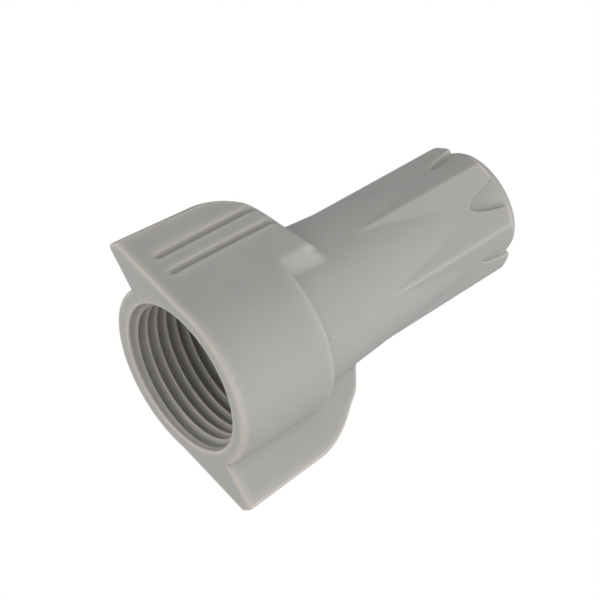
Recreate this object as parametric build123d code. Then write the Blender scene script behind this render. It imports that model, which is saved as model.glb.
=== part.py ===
from build123d import *
import math
import os

# Twist-on wire connector: a one-piece moulded shell with a conical wire spring inside it.
# Units are millimetres.  The origin is the centre of the mouth face, +Z runs along the
# axis from the mouth to the closed nose, and +X points at the tip of one wing.

# --- driving dimensions -------------------------------------------------------------
# skirt: the wide round band around the mouth
SKIRT_RADIUS_MOUTH = 9.75
SKIRT_RADIUS_TOP = 9.50
SKIRT_HEIGHT = 12.1
SKIRT_RIM_ROUNDING = 0.4
SHOULDER_ROUNDING = 0.9

# barrel: the tapered round body between the skirt and the nose
BARREL_RADIUS_FOOT = 8.07
BARREL_RADIUS_MID = 7.55
BARREL_MID_HEIGHT = 18.0
BARREL_TAPER = 0.105
BARREL_FOOT_ROUNDING = 0.3

# nose: six flats with sharp crests between them, six teeth and a round core
NOSE_SIDES = 6
NOSE_CREST_RADIUS_LOW = 7.34
NOSE_CREST_RADIUS_TOP = 6.95
NOSE_BASE_HEIGHT = 17.0
NOSE_TOOTH_HEIGHT = 37.9
NOSE_TOOTH_ROUNDING = 0.85
NOSE_FIRST_CREST_ANGLE = -6.1
ENVELOPE_MARGIN = 0.03
NOTCH_APEX_HEIGHT = 34.0
NOTCH_CURVE = 1.28
NOTCH_HALF_WIDTH = 1.95
NOTCH_CURVE_STEPS = 3
CORE_RADIUS = 5.62
CORE_HEIGHT = 39.25
CORE_ROUNDING = 1.2

# wings: two finger wings set tangent to the skirt, each a half turn from the other
WING_FACE_ANGLE = 53.4
WING_FACE_DISTANCE = 9.6
WING_BACK_OFFSET = -0.7
WING_TIP_RADIUS = 14.7
WING_EDGE_ROUNDING = 0.45
WING_SHOULDER_END = (1.4, 6.4)
WING_TOP_CURVE = ((14.7, 0.0), (14.33, 4.6), (13.98, 9.3), (13.35, 11.8), (12.4, 13.8),
                  (11.4, 15.2), (10.2, 16.3), (8.8, 17.3), (7.0, 18.5))
WING_TOP_PLANE_POINT = (5.75, 7.69, 15.45)
WING_TOP_PLANE_NORMAL = (0.463, 0.301, 0.833)

# finger grooves pressed into the flat face of each wing
GROOVE_POSITIONS = (5.05, 7.35)
GROOVE_RADIUS = 0.32
GROOVE_START_HEIGHT = 2.7
GROOVE_TOP_HEIGHT = 17.0
GROOVE_LEAN = 0.55

# mouth: rounded lip, smooth lead-in, then the moulded guide thread
MOUTH_BORE_RADIUS = 8.1
MOUTH_LIP_ROUNDING = 0.2
LEAD_IN_DEPTH = 0.95
LEAD_IN_CHAMFER = 0.25
BORE_DEPTH = 11.0
THREAD_ROOT_RADIUS = MOUTH_BORE_RADIUS - LEAD_IN_CHAMFER
THREAD_ROOT_EMBED = 0.12
THREAD_CREST_RADIUS = 7.43
THREAD_PITCH = 1.17
THREAD_START_HEIGHT = 0.95
THREAD_START_ANGLE = -90
THREAD_TURNS = 8
THREAD_ROOT_WIDTH = 0.85
THREAD_CREST_WIDTH = 0.25

# spring and the tapered pocket that holds it
WIRE_SIZE = 1.0
SPRING_PITCH = 1.5
SPRING_TURNS = 14.5
SPRING_START_HEIGHT = 13.0
SPRING_RADIUS_LOW = 5.75
SPRING_RADIUS_TOP = 3.35
POCKET_CLEARANCE = 0.06
POCKET_LEDGE_HEIGHT = 12.2
POCKET_LEDGE_RADIUS = 6.1
SPRING_END_GAP = 0.02

# how far a cut or a blank runs past the faces it has to clear
OVERRUN = 0.5

SHELL_COLOUR = (0.45, 0.45, 0.43)
SPRING_COLOUR = (0.70, 0.71, 0.72)


def revolved(points):
    """Closed outline of (radius, height) points turned once around the Z axis."""
    outline = Polyline(*[(radius, 0, height) for radius, height in points], close=True)
    return revolve(make_face(outline), Axis.Z)


def barrel_radius(height):
    """Outer radius of the barrel cone at a height above the mouth face."""
    return BARREL_RADIUS_MID - BARREL_TAPER * (height - BARREL_MID_HEIGHT)


def edge_circles_at(solid, height, radius, tolerance=0.05):
    """Circular edges of a solid that lie at one height and have one radius."""
    found = []
    for edge in solid.edges().filter_by(GeomType.CIRCLE):
        if abs(edge.center().Z - height) < tolerance and abs(edge.radius - radius) < tolerance:
            found.append(edge)
    return found


def outer_reach(edge):
    """Distance from the Z axis to the farther end of an edge."""
    return max(math.hypot(point.X, point.Y) for point in (edge @ 0, edge @ 1))


def skirt_and_barrel():
    """Solid round body: skirt band, shoulder, and the tapered barrel up into the nose."""
    body = revolved([
        (0, 0),
        (SKIRT_RADIUS_MOUTH, 0),
        (SKIRT_RADIUS_TOP, SKIRT_HEIGHT),
        (BARREL_RADIUS_FOOT, SKIRT_HEIGHT),
        (BARREL_RADIUS_MID, BARREL_MID_HEIGHT),
        (barrel_radius(NOTCH_APEX_HEIGHT), NOTCH_APEX_HEIGHT),
        (0, NOTCH_APEX_HEIGHT),
    ])
    body = fillet(edge_circles_at(body, 0, SKIRT_RADIUS_MOUTH), SKIRT_RIM_ROUNDING)
    body = fillet(edge_circles_at(body, SKIRT_HEIGHT, SKIRT_RADIUS_TOP), SHOULDER_ROUNDING)
    return fillet(edge_circles_at(body, SKIRT_HEIGHT, BARREL_RADIUS_FOOT), BARREL_FOOT_ROUNDING)


def nose():
    """Six-sided nose with rounded tooth ends, notches in the flats and the round core."""
    low = Plane.XY.offset(NOSE_BASE_HEIGHT) * RegularPolygon(NOSE_CREST_RADIUS_LOW, NOSE_SIDES)
    top = Plane.XY.offset(NOSE_TOOTH_HEIGHT) * RegularPolygon(NOSE_CREST_RADIUS_TOP, NOSE_SIDES)
    prism = Rot(0, 0, NOSE_FIRST_CREST_ANGLE) * loft([low, top])

    envelope_top = NOSE_CREST_RADIUS_TOP + ENVELOPE_MARGIN
    envelope = Pos(0, 0, NOSE_BASE_HEIGHT) * Cone(
        NOSE_CREST_RADIUS_LOW + ENVELOPE_MARGIN, envelope_top, NOSE_TOOTH_HEIGHT - NOSE_BASE_HEIGHT,
        align=(Align.CENTER, Align.CENTER, Align.MIN))
    envelope = fillet(edge_circles_at(envelope, NOSE_TOOTH_HEIGHT, envelope_top), NOSE_TOOTH_ROUNDING)
    teeth = prism & envelope

    notch_points = []
    for step in range(-NOTCH_CURVE_STEPS, NOTCH_CURVE_STEPS + 1):
        side = NOTCH_HALF_WIDTH * step / NOTCH_CURVE_STEPS
        notch_points.append((side, NOTCH_APEX_HEIGHT + NOTCH_CURVE * side ** 2))
    curve = Spline(*notch_points)
    closing = Line(curve @ 1, curve @ 0)
    outside = NOSE_CREST_RADIUS_LOW + OVERRUN
    notch_face = Plane.XZ.offset(-outside) * make_face(curve + closing)
    cutter = extrude(notch_face, outside - CORE_RADIUS + OVERRUN)
    for side in range(NOSE_SIDES):
        angle = NOSE_FIRST_CREST_ANGLE + (side + 0.5) * 360 / NOSE_SIDES
        teeth = teeth - Rot(0, 0, angle - 90) * cutter

    core = Pos(0, 0, NOSE_BASE_HEIGHT) * Cylinder(
        CORE_RADIUS, CORE_HEIGHT - NOSE_BASE_HEIGHT,
        align=(Align.CENTER, Align.CENTER, Align.MIN))
    core = fillet(edge_circles_at(core, CORE_HEIGHT, CORE_RADIUS), CORE_ROUNDING)
    return teeth + core


def wing():
    """The wing on +X: flat tangent face, thin rounded tip, short back face, sloping top."""
    normal = Vector(math.cos(math.radians(WING_FACE_ANGLE)), math.sin(math.radians(WING_FACE_ANGLE)))
    foot = normal * WING_FACE_DISTANCE
    blank_reach = WING_TIP_RADIUS + OVERRUN
    tip_face_y = (WING_FACE_DISTANCE - normal.X * blank_reach) / normal.Y
    outline = Polyline(
        (0, 0),
        (0, WING_BACK_OFFSET),
        (blank_reach, WING_BACK_OFFSET),
        (blank_reach, tip_face_y),
        (foot.X, foot.Y),
        WING_SHOULDER_END,
        close=True,
    )
    blank = extrude(make_face(outline), WING_TOP_CURVE[-1][1])
    curve = Spline(*[(radius, 0, height) for radius, height in WING_TOP_CURVE])
    last_radius, last_height = WING_TOP_CURVE[-1]
    sides = Polyline((last_radius, 0, last_height), (0, 0, last_height), (0, 0, 0),
                     (WING_TOP_CURVE[0][0], 0, 0))
    envelope = revolve(make_face(curve + sides), Axis.Z)
    top_plane = Plane(WING_TOP_PLANE_POINT, z_dir=WING_TOP_PLANE_NORMAL)
    shape = split(blank & envelope, bisect_by=top_plane, keep=Keep.BOTTOM)
    outer_edges = [edge for edge in shape.edges() if outer_reach(edge) > SKIRT_RADIUS_TOP]
    return groove_cuts(fillet(outer_edges, WING_EDGE_ROUNDING), normal, foot)


def groove_cuts(shape, normal, foot):
    """Cuts the two round-bottomed finger grooves into the flat face of a wing."""
    along = Vector(normal.Y, -normal.X)
    for position in GROOVE_POSITIONS:
        start = foot + along * position + Vector(0, 0, GROOVE_START_HEIGHT)
        finish = foot + along * (position - GROOVE_LEAN) + Vector(0, 0, GROOVE_TOP_HEIGHT)
        path = Line(start, finish)
        cutter = Plane(start, z_dir=finish - start) * Circle(GROOVE_RADIUS)
        shape = shape - sweep(cutter, path) - Pos(start) * Sphere(GROOVE_RADIUS)
    return shape


def mouth_bore():
    """Stepped bore: smooth lead-in, a short chamfer, then the narrower root of the thread."""
    return revolved([
        (0, 0),
        (MOUTH_BORE_RADIUS, 0),
        (MOUTH_BORE_RADIUS, LEAD_IN_DEPTH),
        (THREAD_ROOT_RADIUS, LEAD_IN_DEPTH + LEAD_IN_CHAMFER),
        (THREAD_ROOT_RADIUS, BORE_DEPTH),
        (0, BORE_DEPTH),
    ])


def spring_pocket():
    """Tapered pocket that the spring sits in, with the ledge that keeps it from falling out."""
    reach = WIRE_SIZE * math.sqrt(2) / 2
    rise = SPRING_PITCH * SPRING_TURNS
    slope = (SPRING_RADIUS_TOP - SPRING_RADIUS_LOW) / rise
    low = SPRING_START_HEIGHT - reach
    top = SPRING_START_HEIGHT + rise + reach + SPRING_END_GAP
    outer_low = SPRING_RADIUS_LOW + reach + POCKET_CLEARANCE - slope * reach
    outer_top = SPRING_RADIUS_TOP + reach + POCKET_CLEARANCE + slope * reach
    return revolved([
        (0, BORE_DEPTH - OVERRUN),
        (POCKET_LEDGE_RADIUS, BORE_DEPTH - OVERRUN),
        (POCKET_LEDGE_RADIUS, POCKET_LEDGE_HEIGHT),
        (outer_low, low),
        (outer_top, top),
        (0, top),
    ])


def guide_thread():
    """Right-hand moulded ridge around the inside of the skirt that leads the wires in."""
    root = THREAD_ROOT_RADIUS + THREAD_ROOT_EMBED
    path = Helix(THREAD_PITCH, THREAD_PITCH * THREAD_TURNS, root)
    path = Pos(0, 0, THREAD_START_HEIGHT) * path
    section_plane = Plane(path @ 0, x_dir=(1, 0, 0), z_dir=path % 0)
    depth = root - THREAD_CREST_RADIUS
    section = section_plane * make_face(Polyline(
        (0, -THREAD_ROOT_WIDTH / 2),
        (0, THREAD_ROOT_WIDTH / 2),
        (-depth, THREAD_CREST_WIDTH / 2),
        (-depth, -THREAD_CREST_WIDTH / 2),
        close=True,
    ))
    ridge = Rot(0, 0, THREAD_START_ANGLE) * sweep(section, path, is_frenet=True)
    return split(ridge, bisect_by=Plane.XY.offset(LEAD_IN_DEPTH), keep=Keep.TOP)


def connector_shell():
    """The whole moulded shell as one solid."""
    body = skirt_and_barrel() + nose()
    one_wing = wing()
    for turn in (0, 180):
        body = body + Rot(0, 0, turn) * one_wing
    body = body - mouth_bore() - spring_pocket()
    body = fillet(edge_circles_at(body, 0, MOUTH_BORE_RADIUS), MOUTH_LIP_ROUNDING)
    return body + guide_thread()


def connector_spring():
    """Square-wire spring wound on a cone, one corner of the wire facing the wires it grips."""
    rise = SPRING_PITCH * SPRING_TURNS
    lean = math.degrees(math.atan((SPRING_RADIUS_TOP - SPRING_RADIUS_LOW) / rise))
    path = Helix(SPRING_PITCH, rise, SPRING_RADIUS_LOW, cone_angle=lean)
    path = Pos(0, 0, SPRING_START_HEIGHT) * path
    section_plane = Plane(path @ 0, x_dir=(1, 0, 0), z_dir=path % 0)
    section = section_plane * Rot(0, 0, 45) * Rectangle(WIRE_SIZE, WIRE_SIZE)
    return sweep(section, path, is_frenet=True)


def write_node(name, shape, colour):
    """Writes one named piece as its own STEP file."""
    shape.label = name
    shape.color = Color(*colour)
    export_step(shape, f"parts/{name}.step")


os.makedirs("parts", exist_ok=True)
write_node("shell", connector_shell(), SHELL_COLOUR)
write_node("spring", connector_spring(), SPRING_COLOUR)
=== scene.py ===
import bpy
import math
import numpy as np
from mathutils import Matrix, Vector


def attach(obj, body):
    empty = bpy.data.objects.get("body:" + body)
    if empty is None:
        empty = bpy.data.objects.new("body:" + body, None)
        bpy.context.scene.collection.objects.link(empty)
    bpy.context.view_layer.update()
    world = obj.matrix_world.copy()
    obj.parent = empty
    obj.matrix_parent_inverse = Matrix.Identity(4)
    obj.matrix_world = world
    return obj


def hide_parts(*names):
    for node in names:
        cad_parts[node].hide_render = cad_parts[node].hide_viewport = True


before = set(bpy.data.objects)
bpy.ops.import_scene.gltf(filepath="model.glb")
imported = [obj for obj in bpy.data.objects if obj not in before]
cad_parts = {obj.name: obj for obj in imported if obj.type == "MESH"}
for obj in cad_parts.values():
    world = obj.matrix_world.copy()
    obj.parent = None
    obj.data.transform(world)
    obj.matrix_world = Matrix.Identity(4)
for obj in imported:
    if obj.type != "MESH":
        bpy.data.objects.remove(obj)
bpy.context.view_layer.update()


# ---- The shell ----
# The whole outside in one piece: skirt, two finger wings, barrel, toothed nose and threaded mouth.
# It is polypropylene, injection moulded around a screwed core, which leaves soft edges, a slight
# draft on every wall and a fine satin skin.

# lengths are millimetres, and angles are degrees unless named otherwise, until the mesh is made
MILLIMETRE = 0.001

# skirt and barrel
SKIRT_RADIUS_MOUTH = 9.75
SKIRT_RADIUS_TOP = 9.50
SKIRT_HEIGHT = 12.1
RIM_ROUNDING = 0.38
SHOULDER_ROUNDING = 0.9
BARREL_RADIUS_FOOT = 8.07
BARREL_RADIUS_MID = 7.58
BARREL_MID_HEIGHT = 18.0
BARREL_MID_BLEND = 0.1
BARREL_TAPER = 0.105
BARREL_FOOT_ROUNDING = 0.3

# wings: flat tangent face, short back face, a tip that curls inwards, and a sloping top plane
WING_FACE_ANGLE = 53.4
WING_FACE_DISTANCE = 9.6
WING_FACE_BLEND = 0.1
WING_BACK_OFFSET = -0.7
WING_EDGE_ROUNDING = 0.45
WING_HOLLOW_ROUNDING = 0.15
WING_TIP_RADIUS = 14.68
WING_TIP_DRAFT = 0.08
WING_CURL_RADIUS = 12.2
WING_CURL_HEIGHT = 13.75
WING_CURL_SLOPE = 0.9
WING_CURL_ROUNDING = 2.0
WING_LEAST_REACH = 10.45
WING_LEAST_REACH_BLEND = 0.6
WING_TOP_HEIGHT = 17.6
WING_TOP_NORMAL = (0.463, 0.301, 0.833)
WING_TOP_DISTANCE = 17.95
WING_TOP_ROUNDING = 0.9
WING_ROOT_ROUNDING = 0.4
WING_FOOT_BLEND = 0.08
LEAST_COSINE = 0.2

# facet that leads from each wing's face in to the barrel, above the skirt
FACET_END_ANGLE = 61.9
FACET_END_RADIUS = 7.75
FACET_ROUNDING = 1.0
FACET_TOP_ROUNDING = 2.4
FACET_FADE_HEIGHT = 0.3
FACET_MARGIN_RADIANS = 0.2
ROOT_FADE_HEIGHT = 0.5

# two grip grooves in each wing's face
GROOVE_PLACES = (7.47, 5.20)
GROOVE_LEAN = 0.037
GROOVE_START_HEIGHT = 2.45
GROOVE_HALF_WIDTH = 0.45
GROOVE_DEPTH = 0.38
GROOVE_POWER = 1.5
GROOVE_STOP_SHARE = 0.1
GROOVE_END_GAPS = (0.1, 0.7)

# six-sided nose, its notched teeth and the round core between them
CREST_COUNT = 6
FIRST_CREST_ANGLE = -126.1
CREST_RADIUS_LOW = 7.38
CREST_LOW_HEIGHT = 17.0
CREST_DRAFT = 0.0185
CREST_CUT = 0.03
CREST_ROUNDING = 0.3
PETAL_ROUNDING = 0.05
TOOTH_BASE_HEIGHT = 30.0
TOOTH_HEIGHT = 37.9
TOOTH_ROUNDING = 0.85
TOOTH_TOP_ROUNDING = 0.1
NOTCH_APEX_HEIGHT = 34.0
NOTCH_CURVE = 1.28
NOTCH_CORNER_ROUNDING = 0.35
CORE_RADIUS = 5.62
CORE_HEIGHT = 39.25
CORE_ROUNDING = 1.2
CORE_FOOT_WIDTH = 0.04
CORE_FOOT_HEIGHT = 0.03
CORE_WALL_START = 0.12
CORE_WALL_LEAST = 0.05
CORE_WALL_END = 0.6

# mouth, moulded thread and the pocket behind it
LIP_ROUNDING = 0.25
LEAD_IN_RADIUS = 8.02
LEAD_IN_DEPTH = 0.45
LEAD_IN_BLEND = 0.1
LEAD_IN_EDGE = 0.05
THREAD_ROOT_RADIUS = 7.9
THREAD_DEPTH = 0.46
THREAD_PITCH = 1.17
THREAD_PHASE_HEIGHT = 1.53
THREAD_ROOT_WIDTH = 0.74
THREAD_CREST_WIDTH = 0.06
THREAD_FADE_IN = 0.4
THREAD_FADE_OUT = 0.8
BORE_DEPTH = 11.0
BORE_CORNER_WIDTH = 0.15
BORE_CORNER_DEPTH = 0.12
LEDGE_RADIUS = 6.1
LEDGE_EDGE = 0.1
LEDGE_HEIGHT = 12.2
POCKET_LOW = (6.6, 12.29)
POCKET_TOP = (4.02, 35.45)

# columns of the surface in one half turn, in their order around the outline
ARC_COLUMNS, HOLLOW_COLUMNS, BACK_COLUMNS, CORNER_COLUMNS, TIP_COLUMNS = 90, 6, 8, 8, 4
FACE_COLUMNS = (8, 11, 9, 11, 17)
WING_COLUMNS = HOLLOW_COLUMNS + BACK_COLUMNS + 2 * CORNER_COLUMNS + TIP_COLUMNS
HALF_COLUMNS = ARC_COLUMNS + WING_COLUMNS + sum(FACE_COLUMNS)

# rows of the surface, in their order from the pocket to the core, and where their spacing changes
THREAD_ROWS, LIP_ROWS, RIM_ROWS, GROOVE_ROWS, SKIRT_ROWS, SHOULDER_ROWS = 90, 7, 7, 12, 18, 9
FOOT_ROWS, WING_ROWS, BARREL_ROWS, TOOTH_ROWS, TOOTH_TOP_ROWS, CORE_ROWS = 8, 28, 38, 31, 4, 9
MOUTH_FACE_PARTS = (0.08, 0.3, 0.6, 0.9)
TOOTH_TOP_PARTS = (0.4, 0.8)
CORE_WALL_PARTS = (0.05, 0.35, 0.7, 1.0)
CORE_END_RADII = (2.8, 1.6, 0.6)
GROOVE_ROWS_END = 3.2
EVEN_HEIGHT = 21.0
EXCESS_FADE_HEIGHT = 1.0
WING_BACK_ANGLE = 10


def smooth_max(a, b, width):
    """The larger of a and b, with a parabola of the given width across the crease between them."""
    overlap = np.maximum(width - np.abs(a - b), 0)
    return np.maximum(a, b) + overlap ** 2 / (4 * np.maximum(width, 1e-6))


def smooth_min(a, b, width):
    """The smaller of a and b, with the crease between them rounded in the same way."""
    return -smooth_max(-a, -b, width)


def smooth_step(low, high, value):
    """0 below low, 1 above high, and 3t^2 - 2t^3 in between."""
    t = np.clip((value - low) / (high - low), 0, 1)
    return t * t * (3 - 2 * t)


def rounding(radius, beyond):
    """How far a convex edge rounding has pulled a wall in, at a distance beyond its start."""
    return radius - np.sqrt(radius ** 2 - np.clip(beyond, 0, radius) ** 2)


def quarter(start, end, count):
    """Heights that sample a quarter-circle rounding evenly, closing up towards its flat end."""
    return start + (end - start) * np.sin(np.arange(1, count + 1) / count * np.pi / 2)


def body_radius(height):
    """Skirt cone, its shoulder rounding, the hollow at the barrel's foot, then the barrel's two cones."""
    skirt = SKIRT_RADIUS_MOUTH + (SKIRT_RADIUS_TOP - SKIRT_RADIUS_MOUTH) * height / SKIRT_HEIGHT
    skirt = skirt - rounding(SHOULDER_ROUNDING, height - SKIRT_HEIGHT + SHOULDER_ROUNDING)
    slope = (BARREL_RADIUS_MID - BARREL_RADIUS_FOOT) / (BARREL_MID_HEIGHT - SKIRT_HEIGHT)
    lower = BARREL_RADIUS_FOOT + slope * (height - SKIRT_HEIGHT)
    upper = BARREL_RADIUS_MID - BARREL_TAPER * (height - BARREL_MID_HEIGHT)
    barrel = smooth_min(lower, upper, BARREL_MID_BLEND)
    barrel = barrel + rounding(BARREL_FOOT_ROUNDING, SKIRT_HEIGHT + BARREL_FOOT_ROUNDING - height)
    return np.where(height <= SKIRT_HEIGHT, skirt, barrel)


def spread(start, end, count):
    """Rows of equal steps from start up to, but not including, end."""
    start, end = np.atleast_1d(start), np.atleast_1d(end)
    return start[:, None] + (end - start)[:, None] * np.arange(count) / count


def winged_rings(heights, inset):
    """Half outlines of skirt and wing, one row for each height, pulled in by inset at the rim.

    From the foot of the other wing's face: the body's circle, the hollow corner, the short back
    face, the tip (two corner arcs and a stretch of circle) and the long tangent face with its two
    grooves.  The wing's sloping top is a plane that limits every point's distance from the axis, and
    the facet at the wing's root is a straight line from the end of the face in to the barrel.
    """
    turn = math.radians(WING_FACE_ANGLE)
    body = body_radius(heights) - inset
    skirt = SKIRT_RADIUS_MOUTH + (SKIRT_RADIUS_TOP - SKIRT_RADIUS_MOUTH) * heights / SKIRT_HEIGHT
    face = smooth_min(skirt, WING_FACE_DISTANCE + 0 * skirt, WING_FACE_BLEND) - inset
    curl = WING_CURL_RADIUS - WING_CURL_SLOPE * (heights - WING_CURL_HEIGHT)
    reach = smooth_min(WING_TIP_RADIUS - WING_TIP_DRAFT * heights, curl, WING_CURL_ROUNDING)
    reach = smooth_max(reach, WING_LEAST_REACH + 0 * reach, WING_LEAST_REACH_BLEND) - inset
    back = WING_BACK_OFFSET + inset
    corner = WING_EDGE_ROUNDING - inset
    hollow = WING_HOLLOW_ROUNDING + inset

    # centres and end angles of the corner at the tip's back, the hollow at the body and the tip's arc
    corner_y = WING_BACK_OFFSET + WING_EDGE_ROUNDING
    corner_x = np.sqrt((reach - corner) ** 2 - corner_y ** 2)
    corner_turn = np.arctan2(corner_y, corner_x)
    hollow_y = back - hollow
    hollow_x = np.sqrt((body + hollow) ** 2 - hollow_y ** 2)
    arc_end = np.arctan2(hollow_y, hollow_x)
    tip_turn = turn - np.arccos((face - corner) / (reach - corner))
    zero = np.zeros_like(heights)

    pieces = []

    def add_arc(centre_x, centre_y, radius, start, end, count):
        angles = spread(start, end, count)
        pieces.append((centre_x[:, None] + radius[:, None] * np.cos(angles),
                       centre_y[:, None] + radius[:, None] * np.sin(angles)))

    add_arc(zero, zero, body, zero + turn - np.pi, arc_end, ARC_COLUMNS)
    add_arc(hollow_x, hollow_y, hollow, arc_end + np.pi, zero + np.pi / 2, HOLLOW_COLUMNS)
    back_x = spread(hollow_x, corner_x, BACK_COLUMNS)
    pieces.append((back_x, back[:, None] + 0 * back_x))
    add_arc(corner_x, corner_y + zero, corner, zero - np.pi / 2, corner_turn, CORNER_COLUMNS)
    add_arc(zero, zero, reach, corner_turn, tip_turn, TIP_COLUMNS)
    add_arc((reach - corner) * np.cos(tip_turn), (reach - corner) * np.sin(tip_turn),
            corner, tip_turn, zero + turn, CORNER_COLUMNS)

    # distances along the flat face from where it leaves the body: its end, both edges of each
    # groove, and the body; every stop stays a share of the face further in than the one before
    face_end = np.sqrt((reach - corner) ** 2 - (face - corner) ** 2)
    groove_lines = [place - GROOVE_LEAN * (heights - GROOVE_START_HEIGHT) for place in GROOVE_PLACES]
    stops = [face_end]
    for line in groove_lines:
        for side in (GROOVE_HALF_WIDTH, -GROOVE_HALF_WIDTH):
            stops.append(np.minimum(line + side, face_end * (1 - GROOVE_STOP_SHARE * len(stops))))
    stops.append(zero)
    along = np.hstack([spread(a, b, n) for a, b, n in zip(stops[:-1], stops[1:], FACE_COLUMNS)])
    depth = np.zeros_like(along)
    for line in groove_lines:
        below = np.minimum(heights - GROOVE_START_HEIGHT, 0)
        off = np.hypot(along - line[:, None], below[:, None]) / GROOVE_HALF_WIDTH
        depth = depth + GROOVE_DEPTH * np.maximum(1 - off ** 2, 0) ** GROOVE_POWER
    depth = depth * smooth_step(*GROOVE_END_GAPS, face_end[:, None] - along)
    distance = face[:, None] - depth
    pieces.append((distance * math.cos(turn) + along * math.sin(turn),
                   distance * math.sin(turn) - along * math.cos(turn)))

    x = np.hstack([piece[0] for piece in pieces])
    y = np.hstack([piece[1] for piece in pieces])
    angle, radius = np.arctan2(y, x), np.hypot(x, y)
    z, body = heights[:, None], body[:, None]

    # the first columns of the arc stand beside the other wing, half a turn away
    beside = angle[:, :ARC_COLUMNS] + np.pi
    foot = face[:, None] * np.array([math.cos(turn), math.sin(turn)])
    end_turn = math.radians(FACET_END_ANGLE)
    end = FACET_END_RADIUS * np.array([math.cos(end_turn), math.sin(end_turn)])
    run = end - foot
    across = np.stack([run[:, 1], -run[:, 0]], 1) / np.hypot(run[:, 0], run[:, 1])[:, None]
    shoulder = SKIRT_HEIGHT - SHOULDER_ROUNDING
    facet_blend = FACET_ROUNDING * smooth_step(shoulder, SKIRT_HEIGHT + FACET_FADE_HEIGHT, z)
    nx, ny, nz = WING_TOP_NORMAL

    def root_radius(a):
        slant = np.maximum(across[:, :1] * np.cos(a) + across[:, 1:] * np.sin(a), LEAST_COSINE)
        straight = (across * foot).sum(1)[:, None] / slant
        return smooth_min(face[:, None] / np.cos(a - turn), straight, facet_blend)

    def top_radius(a):
        return (WING_TOP_DISTANCE - nz * z) / np.maximum(nx * np.cos(a) + ny * np.sin(a), LEAST_COSINE)

    facet = smooth_min(root_radius(beside), top_radius(beside), FACET_TOP_ROUNDING)
    root = WING_ROOT_ROUNDING * smooth_step(shoulder, SKIRT_HEIGHT + ROOT_FADE_HEIGHT, z)
    radius[:, :ARC_COLUMNS] = np.where(
        beside < end_turn + FACET_MARGIN_RADIANS, smooth_max(body, facet, root), radius[:, :ARC_COLUMNS])
    wing = radius[:, ARC_COLUMNS:]
    flat = slice(WING_COLUMNS + sum(FACE_COLUMNS[:-1]), None)
    wing[:, flat] = np.minimum(wing[:, flat], root_radius(angle[:, ARC_COLUMNS:][:, flat]))

    # the sloping top cuts the wing, and the body shows where the cut goes in past it
    cut = smooth_min(wing, top_radius(angle[:, ARC_COLUMNS:]), WING_TOP_ROUNDING)
    root = np.minimum(wing - cut, WING_ROOT_ROUNDING)
    blend = np.clip(body - face[:, None], 0, WING_FOOT_BLEND)
    root[:, WING_COLUMNS:] = np.maximum(root[:, WING_COLUMNS:], blend)
    radius[:, ARC_COLUMNS:] = smooth_max(cut, body, root)
    return np.stack([radius * np.cos(angle), radius * np.sin(angle), z + 0 * radius], 2)


def flat_offset(angle):
    """Angle from the middle of the nearest nose flat, in radians, 0 at the middle."""
    pitch = 2 * np.pi / CREST_COUNT
    return (angle - math.radians(FIRST_CREST_ANGLE)) % pitch - pitch / 2


def nose_radius(angle, height):
    """The tapered barrel or the six-sided nose, whichever is larger, and the teeth's rounded ends."""
    crest = CREST_RADIUS_LOW - CREST_DRAFT * (height - CREST_LOW_HEIGHT)
    flats = crest * math.cos(np.pi / CREST_COUNT) / np.cos(flat_offset(angle))
    tip = crest - rounding(TOOTH_ROUNDING, height - TOOTH_HEIGHT + TOOTH_ROUNDING)
    flats = smooth_min(flats, tip - CREST_CUT, CREST_ROUNDING)
    return smooth_max(flats, body_radius(height), PETAL_ROUNDING)


def tooth_top(angle):
    """Height of the tooth tops, dipping to a parabola at the middle of each flat."""
    side = CREST_RADIUS_LOW * math.cos(np.pi / CREST_COUNT) * np.tan(flat_offset(angle))
    dip = NOTCH_APEX_HEIGHT + NOTCH_CURVE * side ** 2
    return smooth_min(dip, TOOTH_HEIGHT + 0 * side, NOTCH_CORNER_ROUNDING)


def polar_ring(radius, angle, height):
    """One ring from a radius, an angle and a height, any of them a number or an array."""
    radius, angle, height = np.broadcast_arrays(radius, angle, height)
    return np.stack([radius * np.cos(angle), radius * np.sin(angle), height], -1)


def both_halves(half_ring):
    """The whole ring: a half ring and the same one turned half way round the axis."""
    return np.concatenate([half_ring, half_ring * np.array([-1, -1, 1])], -2)


def thread_radius(angle, height):
    """The root's radius less a ridge: nothing between ridges and the full depth at a crest."""
    turns = (height - THREAD_PHASE_HEIGHT) / THREAD_PITCH - angle / (2 * np.pi)
    off = np.abs(turns - np.round(turns)) * THREAD_PITCH
    ridge = 1 - smooth_step(THREAD_CREST_WIDTH / 2, THREAD_ROOT_WIDTH / 2, off)
    fade = smooth_step(LEAD_IN_DEPTH, LEAD_IN_DEPTH + THREAD_FADE_IN, height)
    fade = fade * smooth_step(BORE_DEPTH, BORE_DEPTH - THREAD_FADE_OUT, height)
    chamfer = LEAD_IN_RADIUS - np.maximum(height - LEAD_IN_DEPTH, 0)
    root = smooth_max(THREAD_ROOT_RADIUS, chamfer, LEAD_IN_BLEND)
    return root - THREAD_DEPTH * ridge * fade


def core_radius(height):
    """The core's straight wall, then its rounded shoulder."""
    return CORE_RADIUS - rounding(CORE_ROUNDING, height - CORE_HEIGHT + CORE_ROUNDING)


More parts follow.
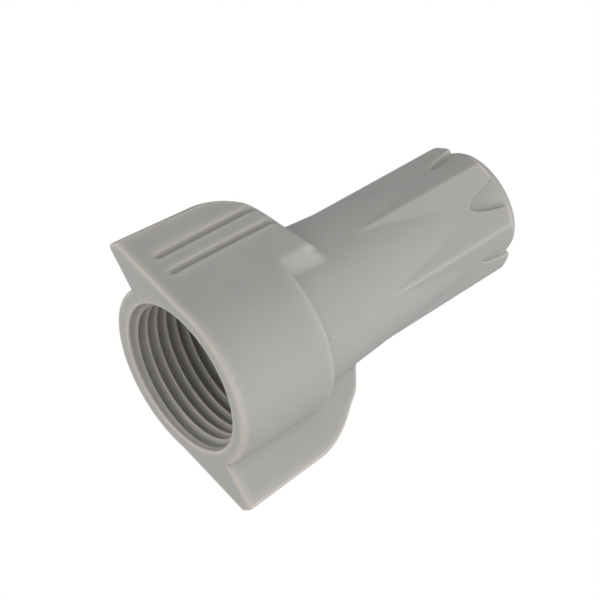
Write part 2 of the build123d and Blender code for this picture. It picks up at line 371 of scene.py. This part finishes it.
def outline_rings():
    """Rings of the rounded rim, and rings of the wall above it up to the top of the wings."""
    rim_heights = quarter(RIM_ROUNDING, 0, RIM_ROWS)[::-1]
    rim_inset = RIM_ROUNDING - np.sqrt(RIM_ROUNDING ** 2 - (RIM_ROUNDING - rim_heights) ** 2)
    shoulder_start = SKIRT_HEIGHT - SHOULDER_ROUNDING
    foot_end = SKIRT_HEIGHT + BARREL_FOOT_ROUNDING
    wall_heights = np.concatenate([
        np.linspace(RIM_ROUNDING, GROOVE_ROWS_END, GROOVE_ROWS),
        np.linspace(GROOVE_ROWS_END, shoulder_start, SKIRT_ROWS)[1:],
        quarter(shoulder_start, SKIRT_HEIGHT, SHOULDER_ROWS),
        quarter(foot_end, SKIRT_HEIGHT, FOOT_ROWS)[-2::-1],
        np.linspace(foot_end, WING_TOP_HEIGHT, WING_ROWS),
    ])
    rim = winged_rings(rim_heights, rim_inset)
    wall = winged_rings(wall_heights, np.zeros_like(wall_heights))
    return both_halves(rim), both_halves(wall)


def bore_angles(outline):
    """Angle of each column inside the mouth: the outline's own, spaced out again behind each wing."""
    angle = np.unwrap(np.arctan2(outline[:, 1], outline[:, 0]))
    columns = (ARC_COLUMNS, ARC_COLUMNS + HOLLOW_COLUMNS, ARC_COLUMNS + WING_COLUMNS, HALF_COLUMNS)
    stops = (angle[ARC_COLUMNS], 0, math.radians(WING_BACK_ANGLE), math.radians(WING_FACE_ANGLE))
    angle[ARC_COLUMNS:HALF_COLUMNS] = np.interp(np.arange(ARC_COLUMNS, HALF_COLUMNS), columns, stops)
    angle[HALF_COLUMNS:] = angle[:HALF_COLUMNS] + np.pi
    return angle


def bore_rings(angle):
    """Rings from the end of the pocket out to the mouth: pocket, ledge, thread, lead-in and lip."""
    corners = (POCKET_TOP, POCKET_LOW, (LEDGE_RADIUS, LEDGE_HEIGHT),
               (LEDGE_RADIUS, BORE_DEPTH + LEDGE_EDGE), (LEDGE_RADIUS + LEDGE_EDGE, BORE_DEPTH),
               (THREAD_ROOT_RADIUS - BORE_CORNER_WIDTH, BORE_DEPTH))
    rings = [polar_ring(radius, angle, height) for radius, height in corners]
    for height in np.linspace(BORE_DEPTH - BORE_CORNER_DEPTH, LEAD_IN_DEPTH - LEAD_IN_EDGE, THREAD_ROWS):
        rings.append(polar_ring(thread_radius(angle, height), angle, height))
    for turned in np.linspace(0, np.pi / 2, LIP_ROWS):
        radius = LEAD_IN_RADIUS + LIP_ROUNDING * (1 - math.cos(turned))
        rings.append(polar_ring(radius, angle, LIP_ROUNDING * (1 - math.sin(turned))))
    return rings


def barrel_rings(wall_top, even_angle):
    """Rings of the barrel above the wings, whose columns slide from the outline's angles to even ones."""
    wing_angle = np.unwrap(np.arctan2(wall_top[:, 1], wall_top[:, 0]))
    wing_excess = np.hypot(wall_top[:, 0], wall_top[:, 1]) - nose_radius(wing_angle, WING_TOP_HEIGHT)
    rings = []
    for height in np.linspace(WING_TOP_HEIGHT, TOOTH_BASE_HEIGHT, BARREL_ROWS)[1:]:
        change = smooth_step(WING_TOP_HEIGHT, EVEN_HEIGHT, height)
        angle = wing_angle + (even_angle - wing_angle) * change
        left = wing_excess * (1 - smooth_step(0, EXCESS_FADE_HEIGHT, height - WING_TOP_HEIGHT))
        rings.append(polar_ring(nose_radius(angle, height) + left, angle, height))
    return rings


def tooth_and_core_rings(angle):
    """Rings up the teeth, over their rounded tops, in to the core, up its wall and over its flat end."""
    rounded = TOOTH_TOP_ROUNDING
    top = tooth_top(angle)
    rings = []
    for part in np.sin(np.linspace(0, np.pi / 2, TOOTH_ROWS))[1:]:
        height = TOOTH_BASE_HEIGHT + (top - rounded - TOOTH_BASE_HEIGHT) * part
        rings.append(polar_ring(nose_radius(angle, height), angle, height))
    edge = nose_radius(angle, top - rounded)
    for turned in np.linspace(0, np.pi / 2, TOOTH_TOP_ROWS)[1:]:
        radius = edge - rounded * (1 - math.cos(turned))
        rings.append(polar_ring(radius, angle, top - rounded + rounded * math.sin(turned)))
    for part in TOOTH_TOP_PARTS:
        rings.append(polar_ring(edge - rounded + (CORE_RADIUS + 2 * rounded - edge) * part, angle, top))
    rings.append(polar_ring(CORE_RADIUS + CORE_FOOT_WIDTH, angle, top + CORE_FOOT_HEIGHT))

    core_edge = CORE_HEIGHT - CORE_ROUNDING
    high = core_edge + CORE_WALL_END
    low = np.minimum(top + CORE_WALL_START, high - CORE_WALL_LEAST)
    for part in CORE_WALL_PARTS:
        height = low + (high - low) * part
        rings.append(polar_ring(core_radius(height), angle, height))
    for turned in np.linspace(math.asin(CORE_WALL_END / CORE_ROUNDING), np.pi / 2, CORE_ROWS)[1:]:
        radius = CORE_RADIUS - CORE_ROUNDING * (1 - math.cos(turned))
        rings.append(polar_ring(radius, angle, core_edge + CORE_ROUNDING * math.sin(turned)))
    for radius in CORE_END_RADII:
        rings.append(polar_ring(radius, angle, CORE_HEIGHT))
    return rings


def shell_rings():
    """Every ring in order, from pocket to mouth to core, and how many of them are inside the mouth."""
    rim, wall = outline_rings()
    rings = bore_rings(bore_angles(rim[0]))
    inside, lip = len(rings), rings[-1]
    for part in MOUTH_FACE_PARTS:
        rings.append(lip + (rim[0] - lip) * part)
    rings.extend(rim)
    rings.extend(wall[1:])
    even_angle = np.radians(FIRST_CREST_ANGLE + 180 * np.arange(2 * HALF_COLUMNS) / HALF_COLUMNS)
    rings.extend(barrel_rings(wall[-1], even_angle))
    rings.extend(tooth_and_core_rings(even_angle))
    return np.stack(rings), inside


# painted light and shade on the shell: the bends in 1/mm at which a painted highlight on an edge
# or painted shade in a crease starts and is full, the shares of a ridge's height between which the
# painted shade in a thread root fades out, and the depth in the mouth at which that painted shade is
# full; the layers are softened a few times over, and the shortest step that a bend is worked out
# from keeps bunched points from counting as an edge
EDGE_BENDS = (0.2, 3.0)
ROOT_SHARES = (0.1, 0.9)
ROOT_SHADE_DEPTH = 0.8
EDGE_SOFTENING = 3
LEAST_STEP = 0.03


def convexity(rings):
    """How sharply the surface turns outwards at each point, in 1/mm: the sum of both curvatures.

    Along and across the rings the curvature is the change of the unit step between neighbouring
    points, divided by the mean length of the two steps, and taken along the surface's normal.
    """
    ahead = np.roll(rings, -1, 1) - rings
    down = np.concatenate([rings[1:] - rings[:-1], rings[-1:] - rings[-2:-1]])
    bend, tangents = 0, []
    steps_before = np.roll(ahead, 1, 1), np.concatenate([down[:1], down[:-1]])
    for step, before in zip((ahead, down), steps_before):
        length = np.maximum(np.linalg.norm(step, axis=2, keepdims=True), LEAST_STEP)
        length_before = np.maximum(np.linalg.norm(before, axis=2, keepdims=True), LEAST_STEP)
        bend = bend + 2 * (before / length_before - step / length) / (length + length_before)
        tangents.append(step / length + before / length_before)
    normal = np.cross(tangents[0], tangents[1])
    normal = normal / np.maximum(np.linalg.norm(normal, axis=2, keepdims=True), 1e-6)
    return (bend * normal).sum(2)


def closed_surface(name, rings, first_pole, last_pole, **layers):
    """Mesh object, in metres, from rows of closed rings, each end closed by a fan to its pole.

    Each layer is one number for every ring point and becomes a vertex attribute of that name.
    """
    rows, columns = rings.shape[:2]
    points = np.vstack([rings.reshape(-1, 3), first_pole, last_pole]) * MILLIMETRE
    row, column = np.meshgrid(np.arange(rows - 1), np.arange(columns), indexing="ij")
    beside = (column + 1) % columns
    quads = np.stack([row * columns + column, row * columns + beside,
                      (row + 1) * columns + beside, (row + 1) * columns + column], -1).reshape(-1, 4)
    around = np.arange(columns)
    after = (around + 1) % columns
    last_row = (rows - 1) * columns
    first_fan = np.stack([after, around, 0 * around + rows * columns], 1)
    last_fan = np.stack([last_row + around, last_row + after, 0 * around + rows * columns + 1], 1)
    corners = np.concatenate([quads.ravel(), first_fan.ravel(), last_fan.ravel()]).astype(np.int32)
    sizes = np.concatenate([np.full(len(quads), 4), np.full(2 * columns, 3)]).astype(np.int32)
    mesh = bpy.data.meshes.new(name)
    mesh.vertices.add(len(points))
    mesh.vertices.foreach_set("co", points.ravel())
    mesh.loops.add(len(corners))
    mesh.loops.foreach_set("vertex_index", corners)
    mesh.polygons.add(len(sizes))
    mesh.polygons.foreach_set("loop_start", (np.cumsum(sizes) - sizes).astype(np.int32))
    mesh.update(calc_edges=True)
    mesh.validate()
    mesh.shade_smooth()
    for layer, values in layers.items():
        data = mesh.attributes.new(layer, "FLOAT", "POINT").data
        with_poles = np.concatenate([values.ravel(), values[0, :1], values[-1, :1]])
        data.foreach_set("value", with_poles.astype(np.float32))
    thing = bpy.data.objects.new(name, mesh)
    bpy.context.scene.collection.objects.link(thing)
    return thing


def softened(layer):
    """The layer averaged with its neighbours, along and across the rings, a few times over."""
    for _ in range(EDGE_SOFTENING):
        layer = (2 * layer + np.roll(layer, 1, 1) + np.roll(layer, -1, 1)) / 4
        above, below = np.vstack([layer[:1], layer[:-1]]), np.vstack([layer[1:], layer[-1:]])
        layer = (2 * layer + above + below) / 4
    return layer


all_rings, inside_count = shell_rings()
bend = convexity(all_rings)
# edge is a painted highlight on convex rounded edges; crease is painted shade in concave creases
edge, crease = softened(smooth_step(*EDGE_BENDS, bend)), softened(smooth_step(*EDGE_BENDS, -bend))
# the root layer is painted shade: in the mouth it fills the thread roots and lead-in, fading in from the
# lip; outside it fills the creases
ridge = (THREAD_ROOT_RADIUS - np.hypot(all_rings[:, :, 0], all_rings[:, :, 1])) / THREAD_DEPTH
inside = (np.arange(len(all_rings)) < inside_count)[:, None]
inside = inside * smooth_step(0, ROOT_SHADE_DEPTH, all_rings[:, :, 2])
root = np.maximum(inside * (1 - smooth_step(*ROOT_SHARES, ridge)), crease * (1 - inside))
# the edge and root layers carry the painted highlight and the painted shade
shell = closed_surface("moulded_shell", all_rings, (0, 0, POCKET_TOP[1]), (0, 0, CORE_HEIGHT),
                       edge=edge, root=root)


def linear(hex_colour):
    """The linear colour of an sRGB hex value, as four numbers."""
    parts = [int(hex_colour[i:i + 2], 16) / 255 for i in (0, 2, 4)]
    return tuple(c / 12.92 if c <= 0.04045 else ((c + 0.055) / 1.055) ** 2.4 for c in parts) + (1.0,)


def add_node(material, kind, settings=None, **links):
    """Adds one node: settings go to its attributes or sockets, links join outputs to its inputs."""
    node = material.node_tree.nodes.new(kind)
    for key, value in (settings or {}).items():
        if hasattr(node, key):
            setattr(node, key, value)
        else:
            node.inputs[key].default_value = value
    for key, source in links.items():
        material.node_tree.links.new(source, node.inputs[key.replace("_", " ")])
    return node


def base_material(name, thing, settings):
    """A new material on a piece, with its surface shader set; returns the material and the shader."""
    material = bpy.data.materials.new(name)
    material.use_nodes = True
    shader = material.node_tree.nodes["Principled BSDF"]
    for key, value in settings.items():
        shader.inputs[key].default_value = value
    thing.data.materials.clear()
    thing.data.materials.append(material)
    return material, shader


# Moulded polypropylene: a grey that is never quite even, where the melt flowed, over a satin skin
# that copies the steel's spark-eroded grain.  The grain's pits are about 0.04 mm; they are drawn
# 0.12 mm wide so that they show.  A little light gets under the surface and warms thin edges.
# Handling polishes the rounded edges, and they are painted lighter and creamier as a painted
# highlight; thread roots and creases, in the mouth deeper than the lip, are painted darker and
# browner as painted shade; and a few pale specks of unmixed pigment lie in the grey.
FLOW_SIZE_MM, MOTTLE_SIZE_MM, MOTTLE_SHARE = 7.0, 1.6, 0.35
GRAIN_SIZE_MM, GRAIN_DEPTH_METRES, GRAIN_STRENGTH = 0.12, 0.00002, 0.25
SPECK_SPACING_MM, SPECK_SHARE = 3.2, 0.7
SPECK_CORE, SPECK_RIM = 0.025, 0.04
GREY_LOW, GREY_HIGH = "A6A6A3", "B1B1AE"
# the cream is a painted highlight on rounded edges, the brown is painted shade in roots and creases
PAINTED_EDGE_HIGHLIGHT_CREAM, PAINTED_SHADE_BROWN, SPECK_CREAM = "D3CAC1", "9A9895", "DDD8D0"
SATIN_LOW, SATIN_HIGH, EDGE_POLISH = 0.42, 0.56, -0.12

plastic, plastic_shader = base_material("moulded_polypropylene", shell, {
    "IOR": 1.49, "Subsurface Weight": 0.12, "Subsurface Radius": (1.0, 0.72, 0.55),
    "Subsurface Scale": 0.0006})
place = add_node(plastic, "ShaderNodeTexCoord").outputs["Object"]
flow = add_node(plastic, "ShaderNodeTexNoise",
                {"Scale": 1000 / FLOW_SIZE_MM, "Detail": 2.0, "Distortion": 0.6}, Vector=place)
mottle = add_node(plastic, "ShaderNodeTexNoise",
                  {"Scale": 1000 / MOTTLE_SIZE_MM, "Detail": 3.0}, Vector=place)
grain = add_node(plastic, "ShaderNodeTexNoise",
                 {"Scale": 1000 / GRAIN_SIZE_MM, "Detail": 1.0}, Vector=place)
specks = add_node(plastic, "ShaderNodeTexVoronoi", {"Scale": 1000 / SPECK_SPACING_MM}, Vector=place)
# the edge layer: where the painted highlight and the lower roughness of polished edges go
edge_polish_and_painted_highlight = add_node(plastic, "ShaderNodeAttribute", {"attribute_name": "edge"}).outputs["Fac"]
# the root layer: where the painted shade goes
painted_shade_share = add_node(plastic, "ShaderNodeAttribute", {"attribute_name": "root"}).outputs["Fac"]
speck_share = add_node(plastic, "ShaderNodeMapRange", {
    "From Min": SPECK_CORE, "From Max": SPECK_RIM, "To Min": SPECK_SHARE, "To Max": 0.0},
    Value=specks.outputs["Distance"])
share = add_node(plastic, "ShaderNodeMix", {"Factor": MOTTLE_SHARE},
                 A=flow.outputs["Fac"], B=mottle.outputs["Fac"])
grey = add_node(plastic, "ShaderNodeMix",
                {"data_type": "RGBA", "A": linear(GREY_LOW), "B": linear(GREY_HIGH)},
                Factor=share.outputs["Result"])
# painted highlight: the grey mixed towards cream on the rounded edges
edge_highlighted = add_node(plastic, "ShaderNodeMix", {"data_type": "RGBA", "B": linear(PAINTED_EDGE_HIGHLIGHT_CREAM)},
                  Factor=edge_polish_and_painted_highlight, A=grey.outputs["Result"])
# painted shade: the grey mixed towards brown in thread roots and creases
shaded = add_node(plastic, "ShaderNodeMix", {"data_type": "RGBA", "B": linear(PAINTED_SHADE_BROWN)},
                  Factor=painted_shade_share, A=edge_highlighted.outputs["Result"])
specked = add_node(plastic, "ShaderNodeMix", {"data_type": "RGBA", "B": linear(SPECK_CREAM)},
                   Factor=speck_share.outputs["Result"], A=shaded.outputs["Result"])
gloss = add_node(plastic, "ShaderNodeMapRange", {"To Min": SATIN_LOW, "To Max": SATIN_HIGH},
                 Value=mottle.outputs["Fac"])
polish = add_node(plastic, "ShaderNodeMath", {"operation": "MULTIPLY_ADD"})
polish.inputs[1].default_value = EDGE_POLISH
plastic.node_tree.links.new(edge_polish_and_painted_highlight, polish.inputs[0])
plastic.node_tree.links.new(gloss.outputs["Result"], polish.inputs[2])
skin = add_node(plastic, "ShaderNodeBump",
                {"Strength": GRAIN_STRENGTH, "Distance": GRAIN_DEPTH_METRES},
                Height=grain.outputs["Fac"])
plastic.node_tree.links.new(specked.outputs["Result"], plastic_shader.inputs["Base Color"])
plastic.node_tree.links.new(polish.outputs[0], plastic_shader.inputs["Roughness"])
plastic.node_tree.links.new(skin.outputs["Normal"], plastic_shader.inputs["Normal"])
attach(shell, "root")
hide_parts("shell")


# ---- The spring ----
# The coil that bites into the stripped conductors: hard-drawn square spring-steel wire, wound on a
# cone with one corner inwards, then zinc plated.  It is pressed past the ledge into the shell's
# pocket, narrow end first, and stays there by its own grip.
WIRE_SIZE = 1.0
WIRE_CORNER = 0.08
SPRING_PITCH = 1.5
SPRING_TURNS = 14.5
SPRING_START_HEIGHT = 13.0
SPRING_RADIUS_LOW = 5.75
SPRING_RADIUS_TOP = 3.35
STEPS_PER_TURN = 64
SHARP_ANGLE = 30


def wire_section():
    """Square with its four corners cut off, turned so that one corner points along the first axis."""
    half = WIRE_SIZE / 2
    near = half - WIRE_CORNER
    corners = np.array([(half, -near), (half, near), (near, half), (-near, half),
                        (-half, near), (-half, -near), (-near, -half), (near, -half)])
    turn = math.radians(45)
    return corners @ np.array([(math.cos(turn), math.sin(turn)), (-math.sin(turn), math.cos(turn))])


def spring_rings():
    """The wire's section along a right-hand helix whose radius falls evenly, and the helix's two ends."""
    turns = np.linspace(0, SPRING_TURNS, int(SPRING_TURNS * STEPS_PER_TURN) + 1)
    angle = 2 * np.pi * turns
    radius = SPRING_RADIUS_LOW + (SPRING_RADIUS_TOP - SPRING_RADIUS_LOW) * turns / SPRING_TURNS
    outward = np.stack([np.cos(angle), np.sin(angle), 0 * angle], 1)
    centre = radius[:, None] * outward
    centre[:, 2] = SPRING_START_HEIGHT + SPRING_PITCH * turns
    along = np.gradient(centre, axis=0)
    along = along / np.linalg.norm(along, axis=1)[:, None]
    across = np.cross(along, outward)
    across = across / np.linalg.norm(across, axis=1)[:, None]
    outward = np.cross(across, along)
    out, sideways = wire_section().T[:, None, :, None]
    return centre[:, None] + out * outward[:, None] + sideways * across[:, None], centre[0], centre[-1]


coil_rings, coil_start, coil_end = spring_rings()
spring = closed_surface("square_wire_spring", coil_rings[:, ::-1], coil_start, coil_end)
spring.data.set_sharp_from_angle(angle=math.radians(SHARP_ANGLE))

# Zinc-plated spring steel: a pale bluish metal, drawn through a die, so that fine lines run along
# the wire and catch the light as streaks.  The die lines are 0.05 mm apart; the plating dulls
# them in patches about 1 mm across.
DIE_LINE_MM, DIE_LINE_DEPTH_METRES, DIE_LINE_STRENGTH = 0.05, 0.000008, 0.3
DIE_LINE_STRETCH = (0.15, 0.15, 1.0)
PLATING_PATCH_MM = 1.0
ZINC_LOW, ZINC_HIGH = "A9ADB0", "C6C9CB"
ZINC_GLOSS_LOW, ZINC_GLOSS_HIGH = 0.22, 0.42

steel, steel_shader = base_material("zinc_plated_spring_steel", spring, {"Metallic": 1.0})
place = add_node(steel, "ShaderNodeTexCoord").outputs["Object"]
stretched = add_node(steel, "ShaderNodeMapping", {"Scale": DIE_LINE_STRETCH}, Vector=place)
lines = add_node(steel, "ShaderNodeTexNoise", {"Scale": 1000 / DIE_LINE_MM, "Detail": 1.0},
                 Vector=stretched.outputs["Vector"])
patches = add_node(steel, "ShaderNodeTexNoise",
                   {"Scale": 1000 / PLATING_PATCH_MM, "Detail": 3.0}, Vector=place)
plating = add_node(steel, "ShaderNodeMix",
                   {"data_type": "RGBA", "A": linear(ZINC_LOW), "B": linear(ZINC_HIGH)},
                   Factor=patches.outputs["Fac"])
dulling = add_node(steel, "ShaderNodeMapRange",
                   {"To Min": ZINC_GLOSS_LOW, "To Max": ZINC_GLOSS_HIGH},
                   Value=patches.outputs["Fac"])
drawn = add_node(steel, "ShaderNodeBump",
                 {"Strength": DIE_LINE_STRENGTH, "Distance": DIE_LINE_DEPTH_METRES},
                 Height=lines.outputs["Fac"])
steel.node_tree.links.new(plating.outputs["Result"], steel_shader.inputs["Base Color"])
steel.node_tree.links.new(dulling.outputs["Result"], steel_shader.inputs["Roughness"])
steel.node_tree.links.new(drawn.outputs["Normal"], steel_shader.inputs["Normal"])
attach(spring, "root")
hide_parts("spring")


# ---- The floor and the light ----
# A plain pale table top at the mouth face, and a white tent with soft boxes around it.  Only the
# camera's own rays from above meet the table, and every other ray goes through it, so that the
# connector can also be seen from below its mouth.
floor_mesh = bpy.data.meshes.new("table_top")
floor_mesh.from_pydata([(-1, -1, 0), (1, -1, 0), (1, 1, 0), (-1, 1, 0)], [], [(0, 1, 2, 3)])
floor = bpy.data.objects.new("table_top", floor_mesh)
bpy.context.scene.collection.objects.link(floor)
laminate, laminate_shader = base_material("matt_white_laminate", floor, {
    "Base Color": linear("E9E8E5"), "Roughness": 0.7})
seen = add_node(laminate, "ShaderNodeLightPath").outputs["Is Camera Ray"]
under = add_node(laminate, "ShaderNodeNewGeometry").outputs["Backfacing"]
shown = add_node(laminate, "ShaderNodeMath", {"operation": "SUBTRACT", "use_clamp": True})
laminate.node_tree.links.new(seen, shown.inputs[0])
laminate.node_tree.links.new(under, shown.inputs[1])
clear = add_node(laminate, "ShaderNodeBsdfTransparent").outputs[0]
either = add_node(laminate, "ShaderNodeMixShader")
laminate.node_tree.links.new(shown.outputs[0], either.inputs[0])
laminate.node_tree.links.new(clear, either.inputs[1])
laminate.node_tree.links.new(laminate_shader.outputs[0], either.inputs[2])
laminate_output = laminate.node_tree.nodes["Material Output"]
laminate.node_tree.links.new(either.outputs[0], laminate_output.inputs["Surface"])

TENT_LIGHT = 0.37
SOFT_BOX_DISTANCE = 0.30
SOFT_BOX_SIZE = 0.26
LIT_MIDDLE = Vector((0, 0, 0.018))
# each soft box: the way to it from the object, and its power in watts
SOFT_BOXES = (
    ("front", (0.0, -1.0, 0.0), 0.15),
    ("front_right", (0.75, -0.65, 0.0), 0.31),
    ("front_left", (-0.75, -0.65, 0.0), 0.02),
    ("above_front", (0.0, -0.6, 0.8), 0.23),
    ("above_right", (0.7, -0.2, 0.7), 0.13),
    ("below_front", (0.0, -0.6, -0.8), 0.09),
    ("below_back", (0.0, 0.7, -0.7), 0.21),
    ("below_left", (-0.7, 0.1, -0.7), 0.24),
)

for box_name, way, power in SOFT_BOXES:
    lamp = bpy.data.lights.new(box_name, "AREA")
    lamp.shape = "SQUARE"
    lamp.size = SOFT_BOX_SIZE
    lamp.energy = power
    soft_box = bpy.data.objects.new(box_name, lamp)
    direction = Vector(way).normalized()
    turned = direction.to_track_quat("Z", "Y").to_matrix().to_4x4()
    soft_box.matrix_world = Matrix.Translation(LIT_MIDDLE + SOFT_BOX_DISTANCE * direction) @ turned
    bpy.context.scene.collection.objects.link(soft_box)

world = bpy.data.worlds.new("white_tent")
world.use_nodes = True
tent = world.node_tree
path = tent.nodes.new("ShaderNodeLightPath")
strength = tent.nodes.new("ShaderNodeMapRange")
strength.inputs["To Min"].default_value = TENT_LIGHT
strength.inputs["To Max"].default_value = 1.0
tent.links.new(path.outputs["Is Camera Ray"], strength.inputs["Value"])
tent.nodes["Background"].inputs["Color"].default_value = (1, 1, 1, 1)
tent.links.new(strength.outputs["Result"], tent.nodes["Background"].inputs["Strength"])
bpy.context.scene.world = world
bpy.context.scene.view_settings.view_transform = "Standard"


# ---- The camera ----
# A long lens below the mouth plane that looks up into the threaded mouth.  The connector lies
# across the picture with its mouth at the lower left and its nose at the upper right, so the
# camera is rolled about its own line of sight.
CAMERA_AZIMUTH = -7.77
CAMERA_ELEVATION = -26.9
CAMERA_ROLL = 59.44
CAMERA_DISTANCE = 0.400
CAMERA_AIM = Vector((-0.001434, -0.006128, 0.012434))
CAMERA_LENS = 247.9


def away(azimuth, elevation):
    """Unit vector towards a viewer at an azimuth from -Y and an elevation, both in degrees."""
    turn, lift = math.radians(azimuth), math.radians(elevation)
    return Vector((math.cos(lift) * math.sin(turn), -math.cos(lift) * math.cos(turn), math.sin(lift)))


camera_data = bpy.data.cameras.new("camera")
camera_data.lens = CAMERA_LENS
camera_data.sensor_width = 36
camera = bpy.data.objects.new("camera", camera_data)
bpy.context.scene.collection.objects.link(camera)
facing = away(CAMERA_AZIMUTH, CAMERA_ELEVATION)
level = facing.to_track_quat("Z", "Y").to_matrix()
rolled = level @ Matrix.Rotation(math.radians(CAMERA_ROLL), 3, "Z")
camera.matrix_world = Matrix.Translation(CAMERA_AIM + CAMERA_DISTANCE * facing) @ rolled.to_4x4()
bpy.context.scene.camera = camera
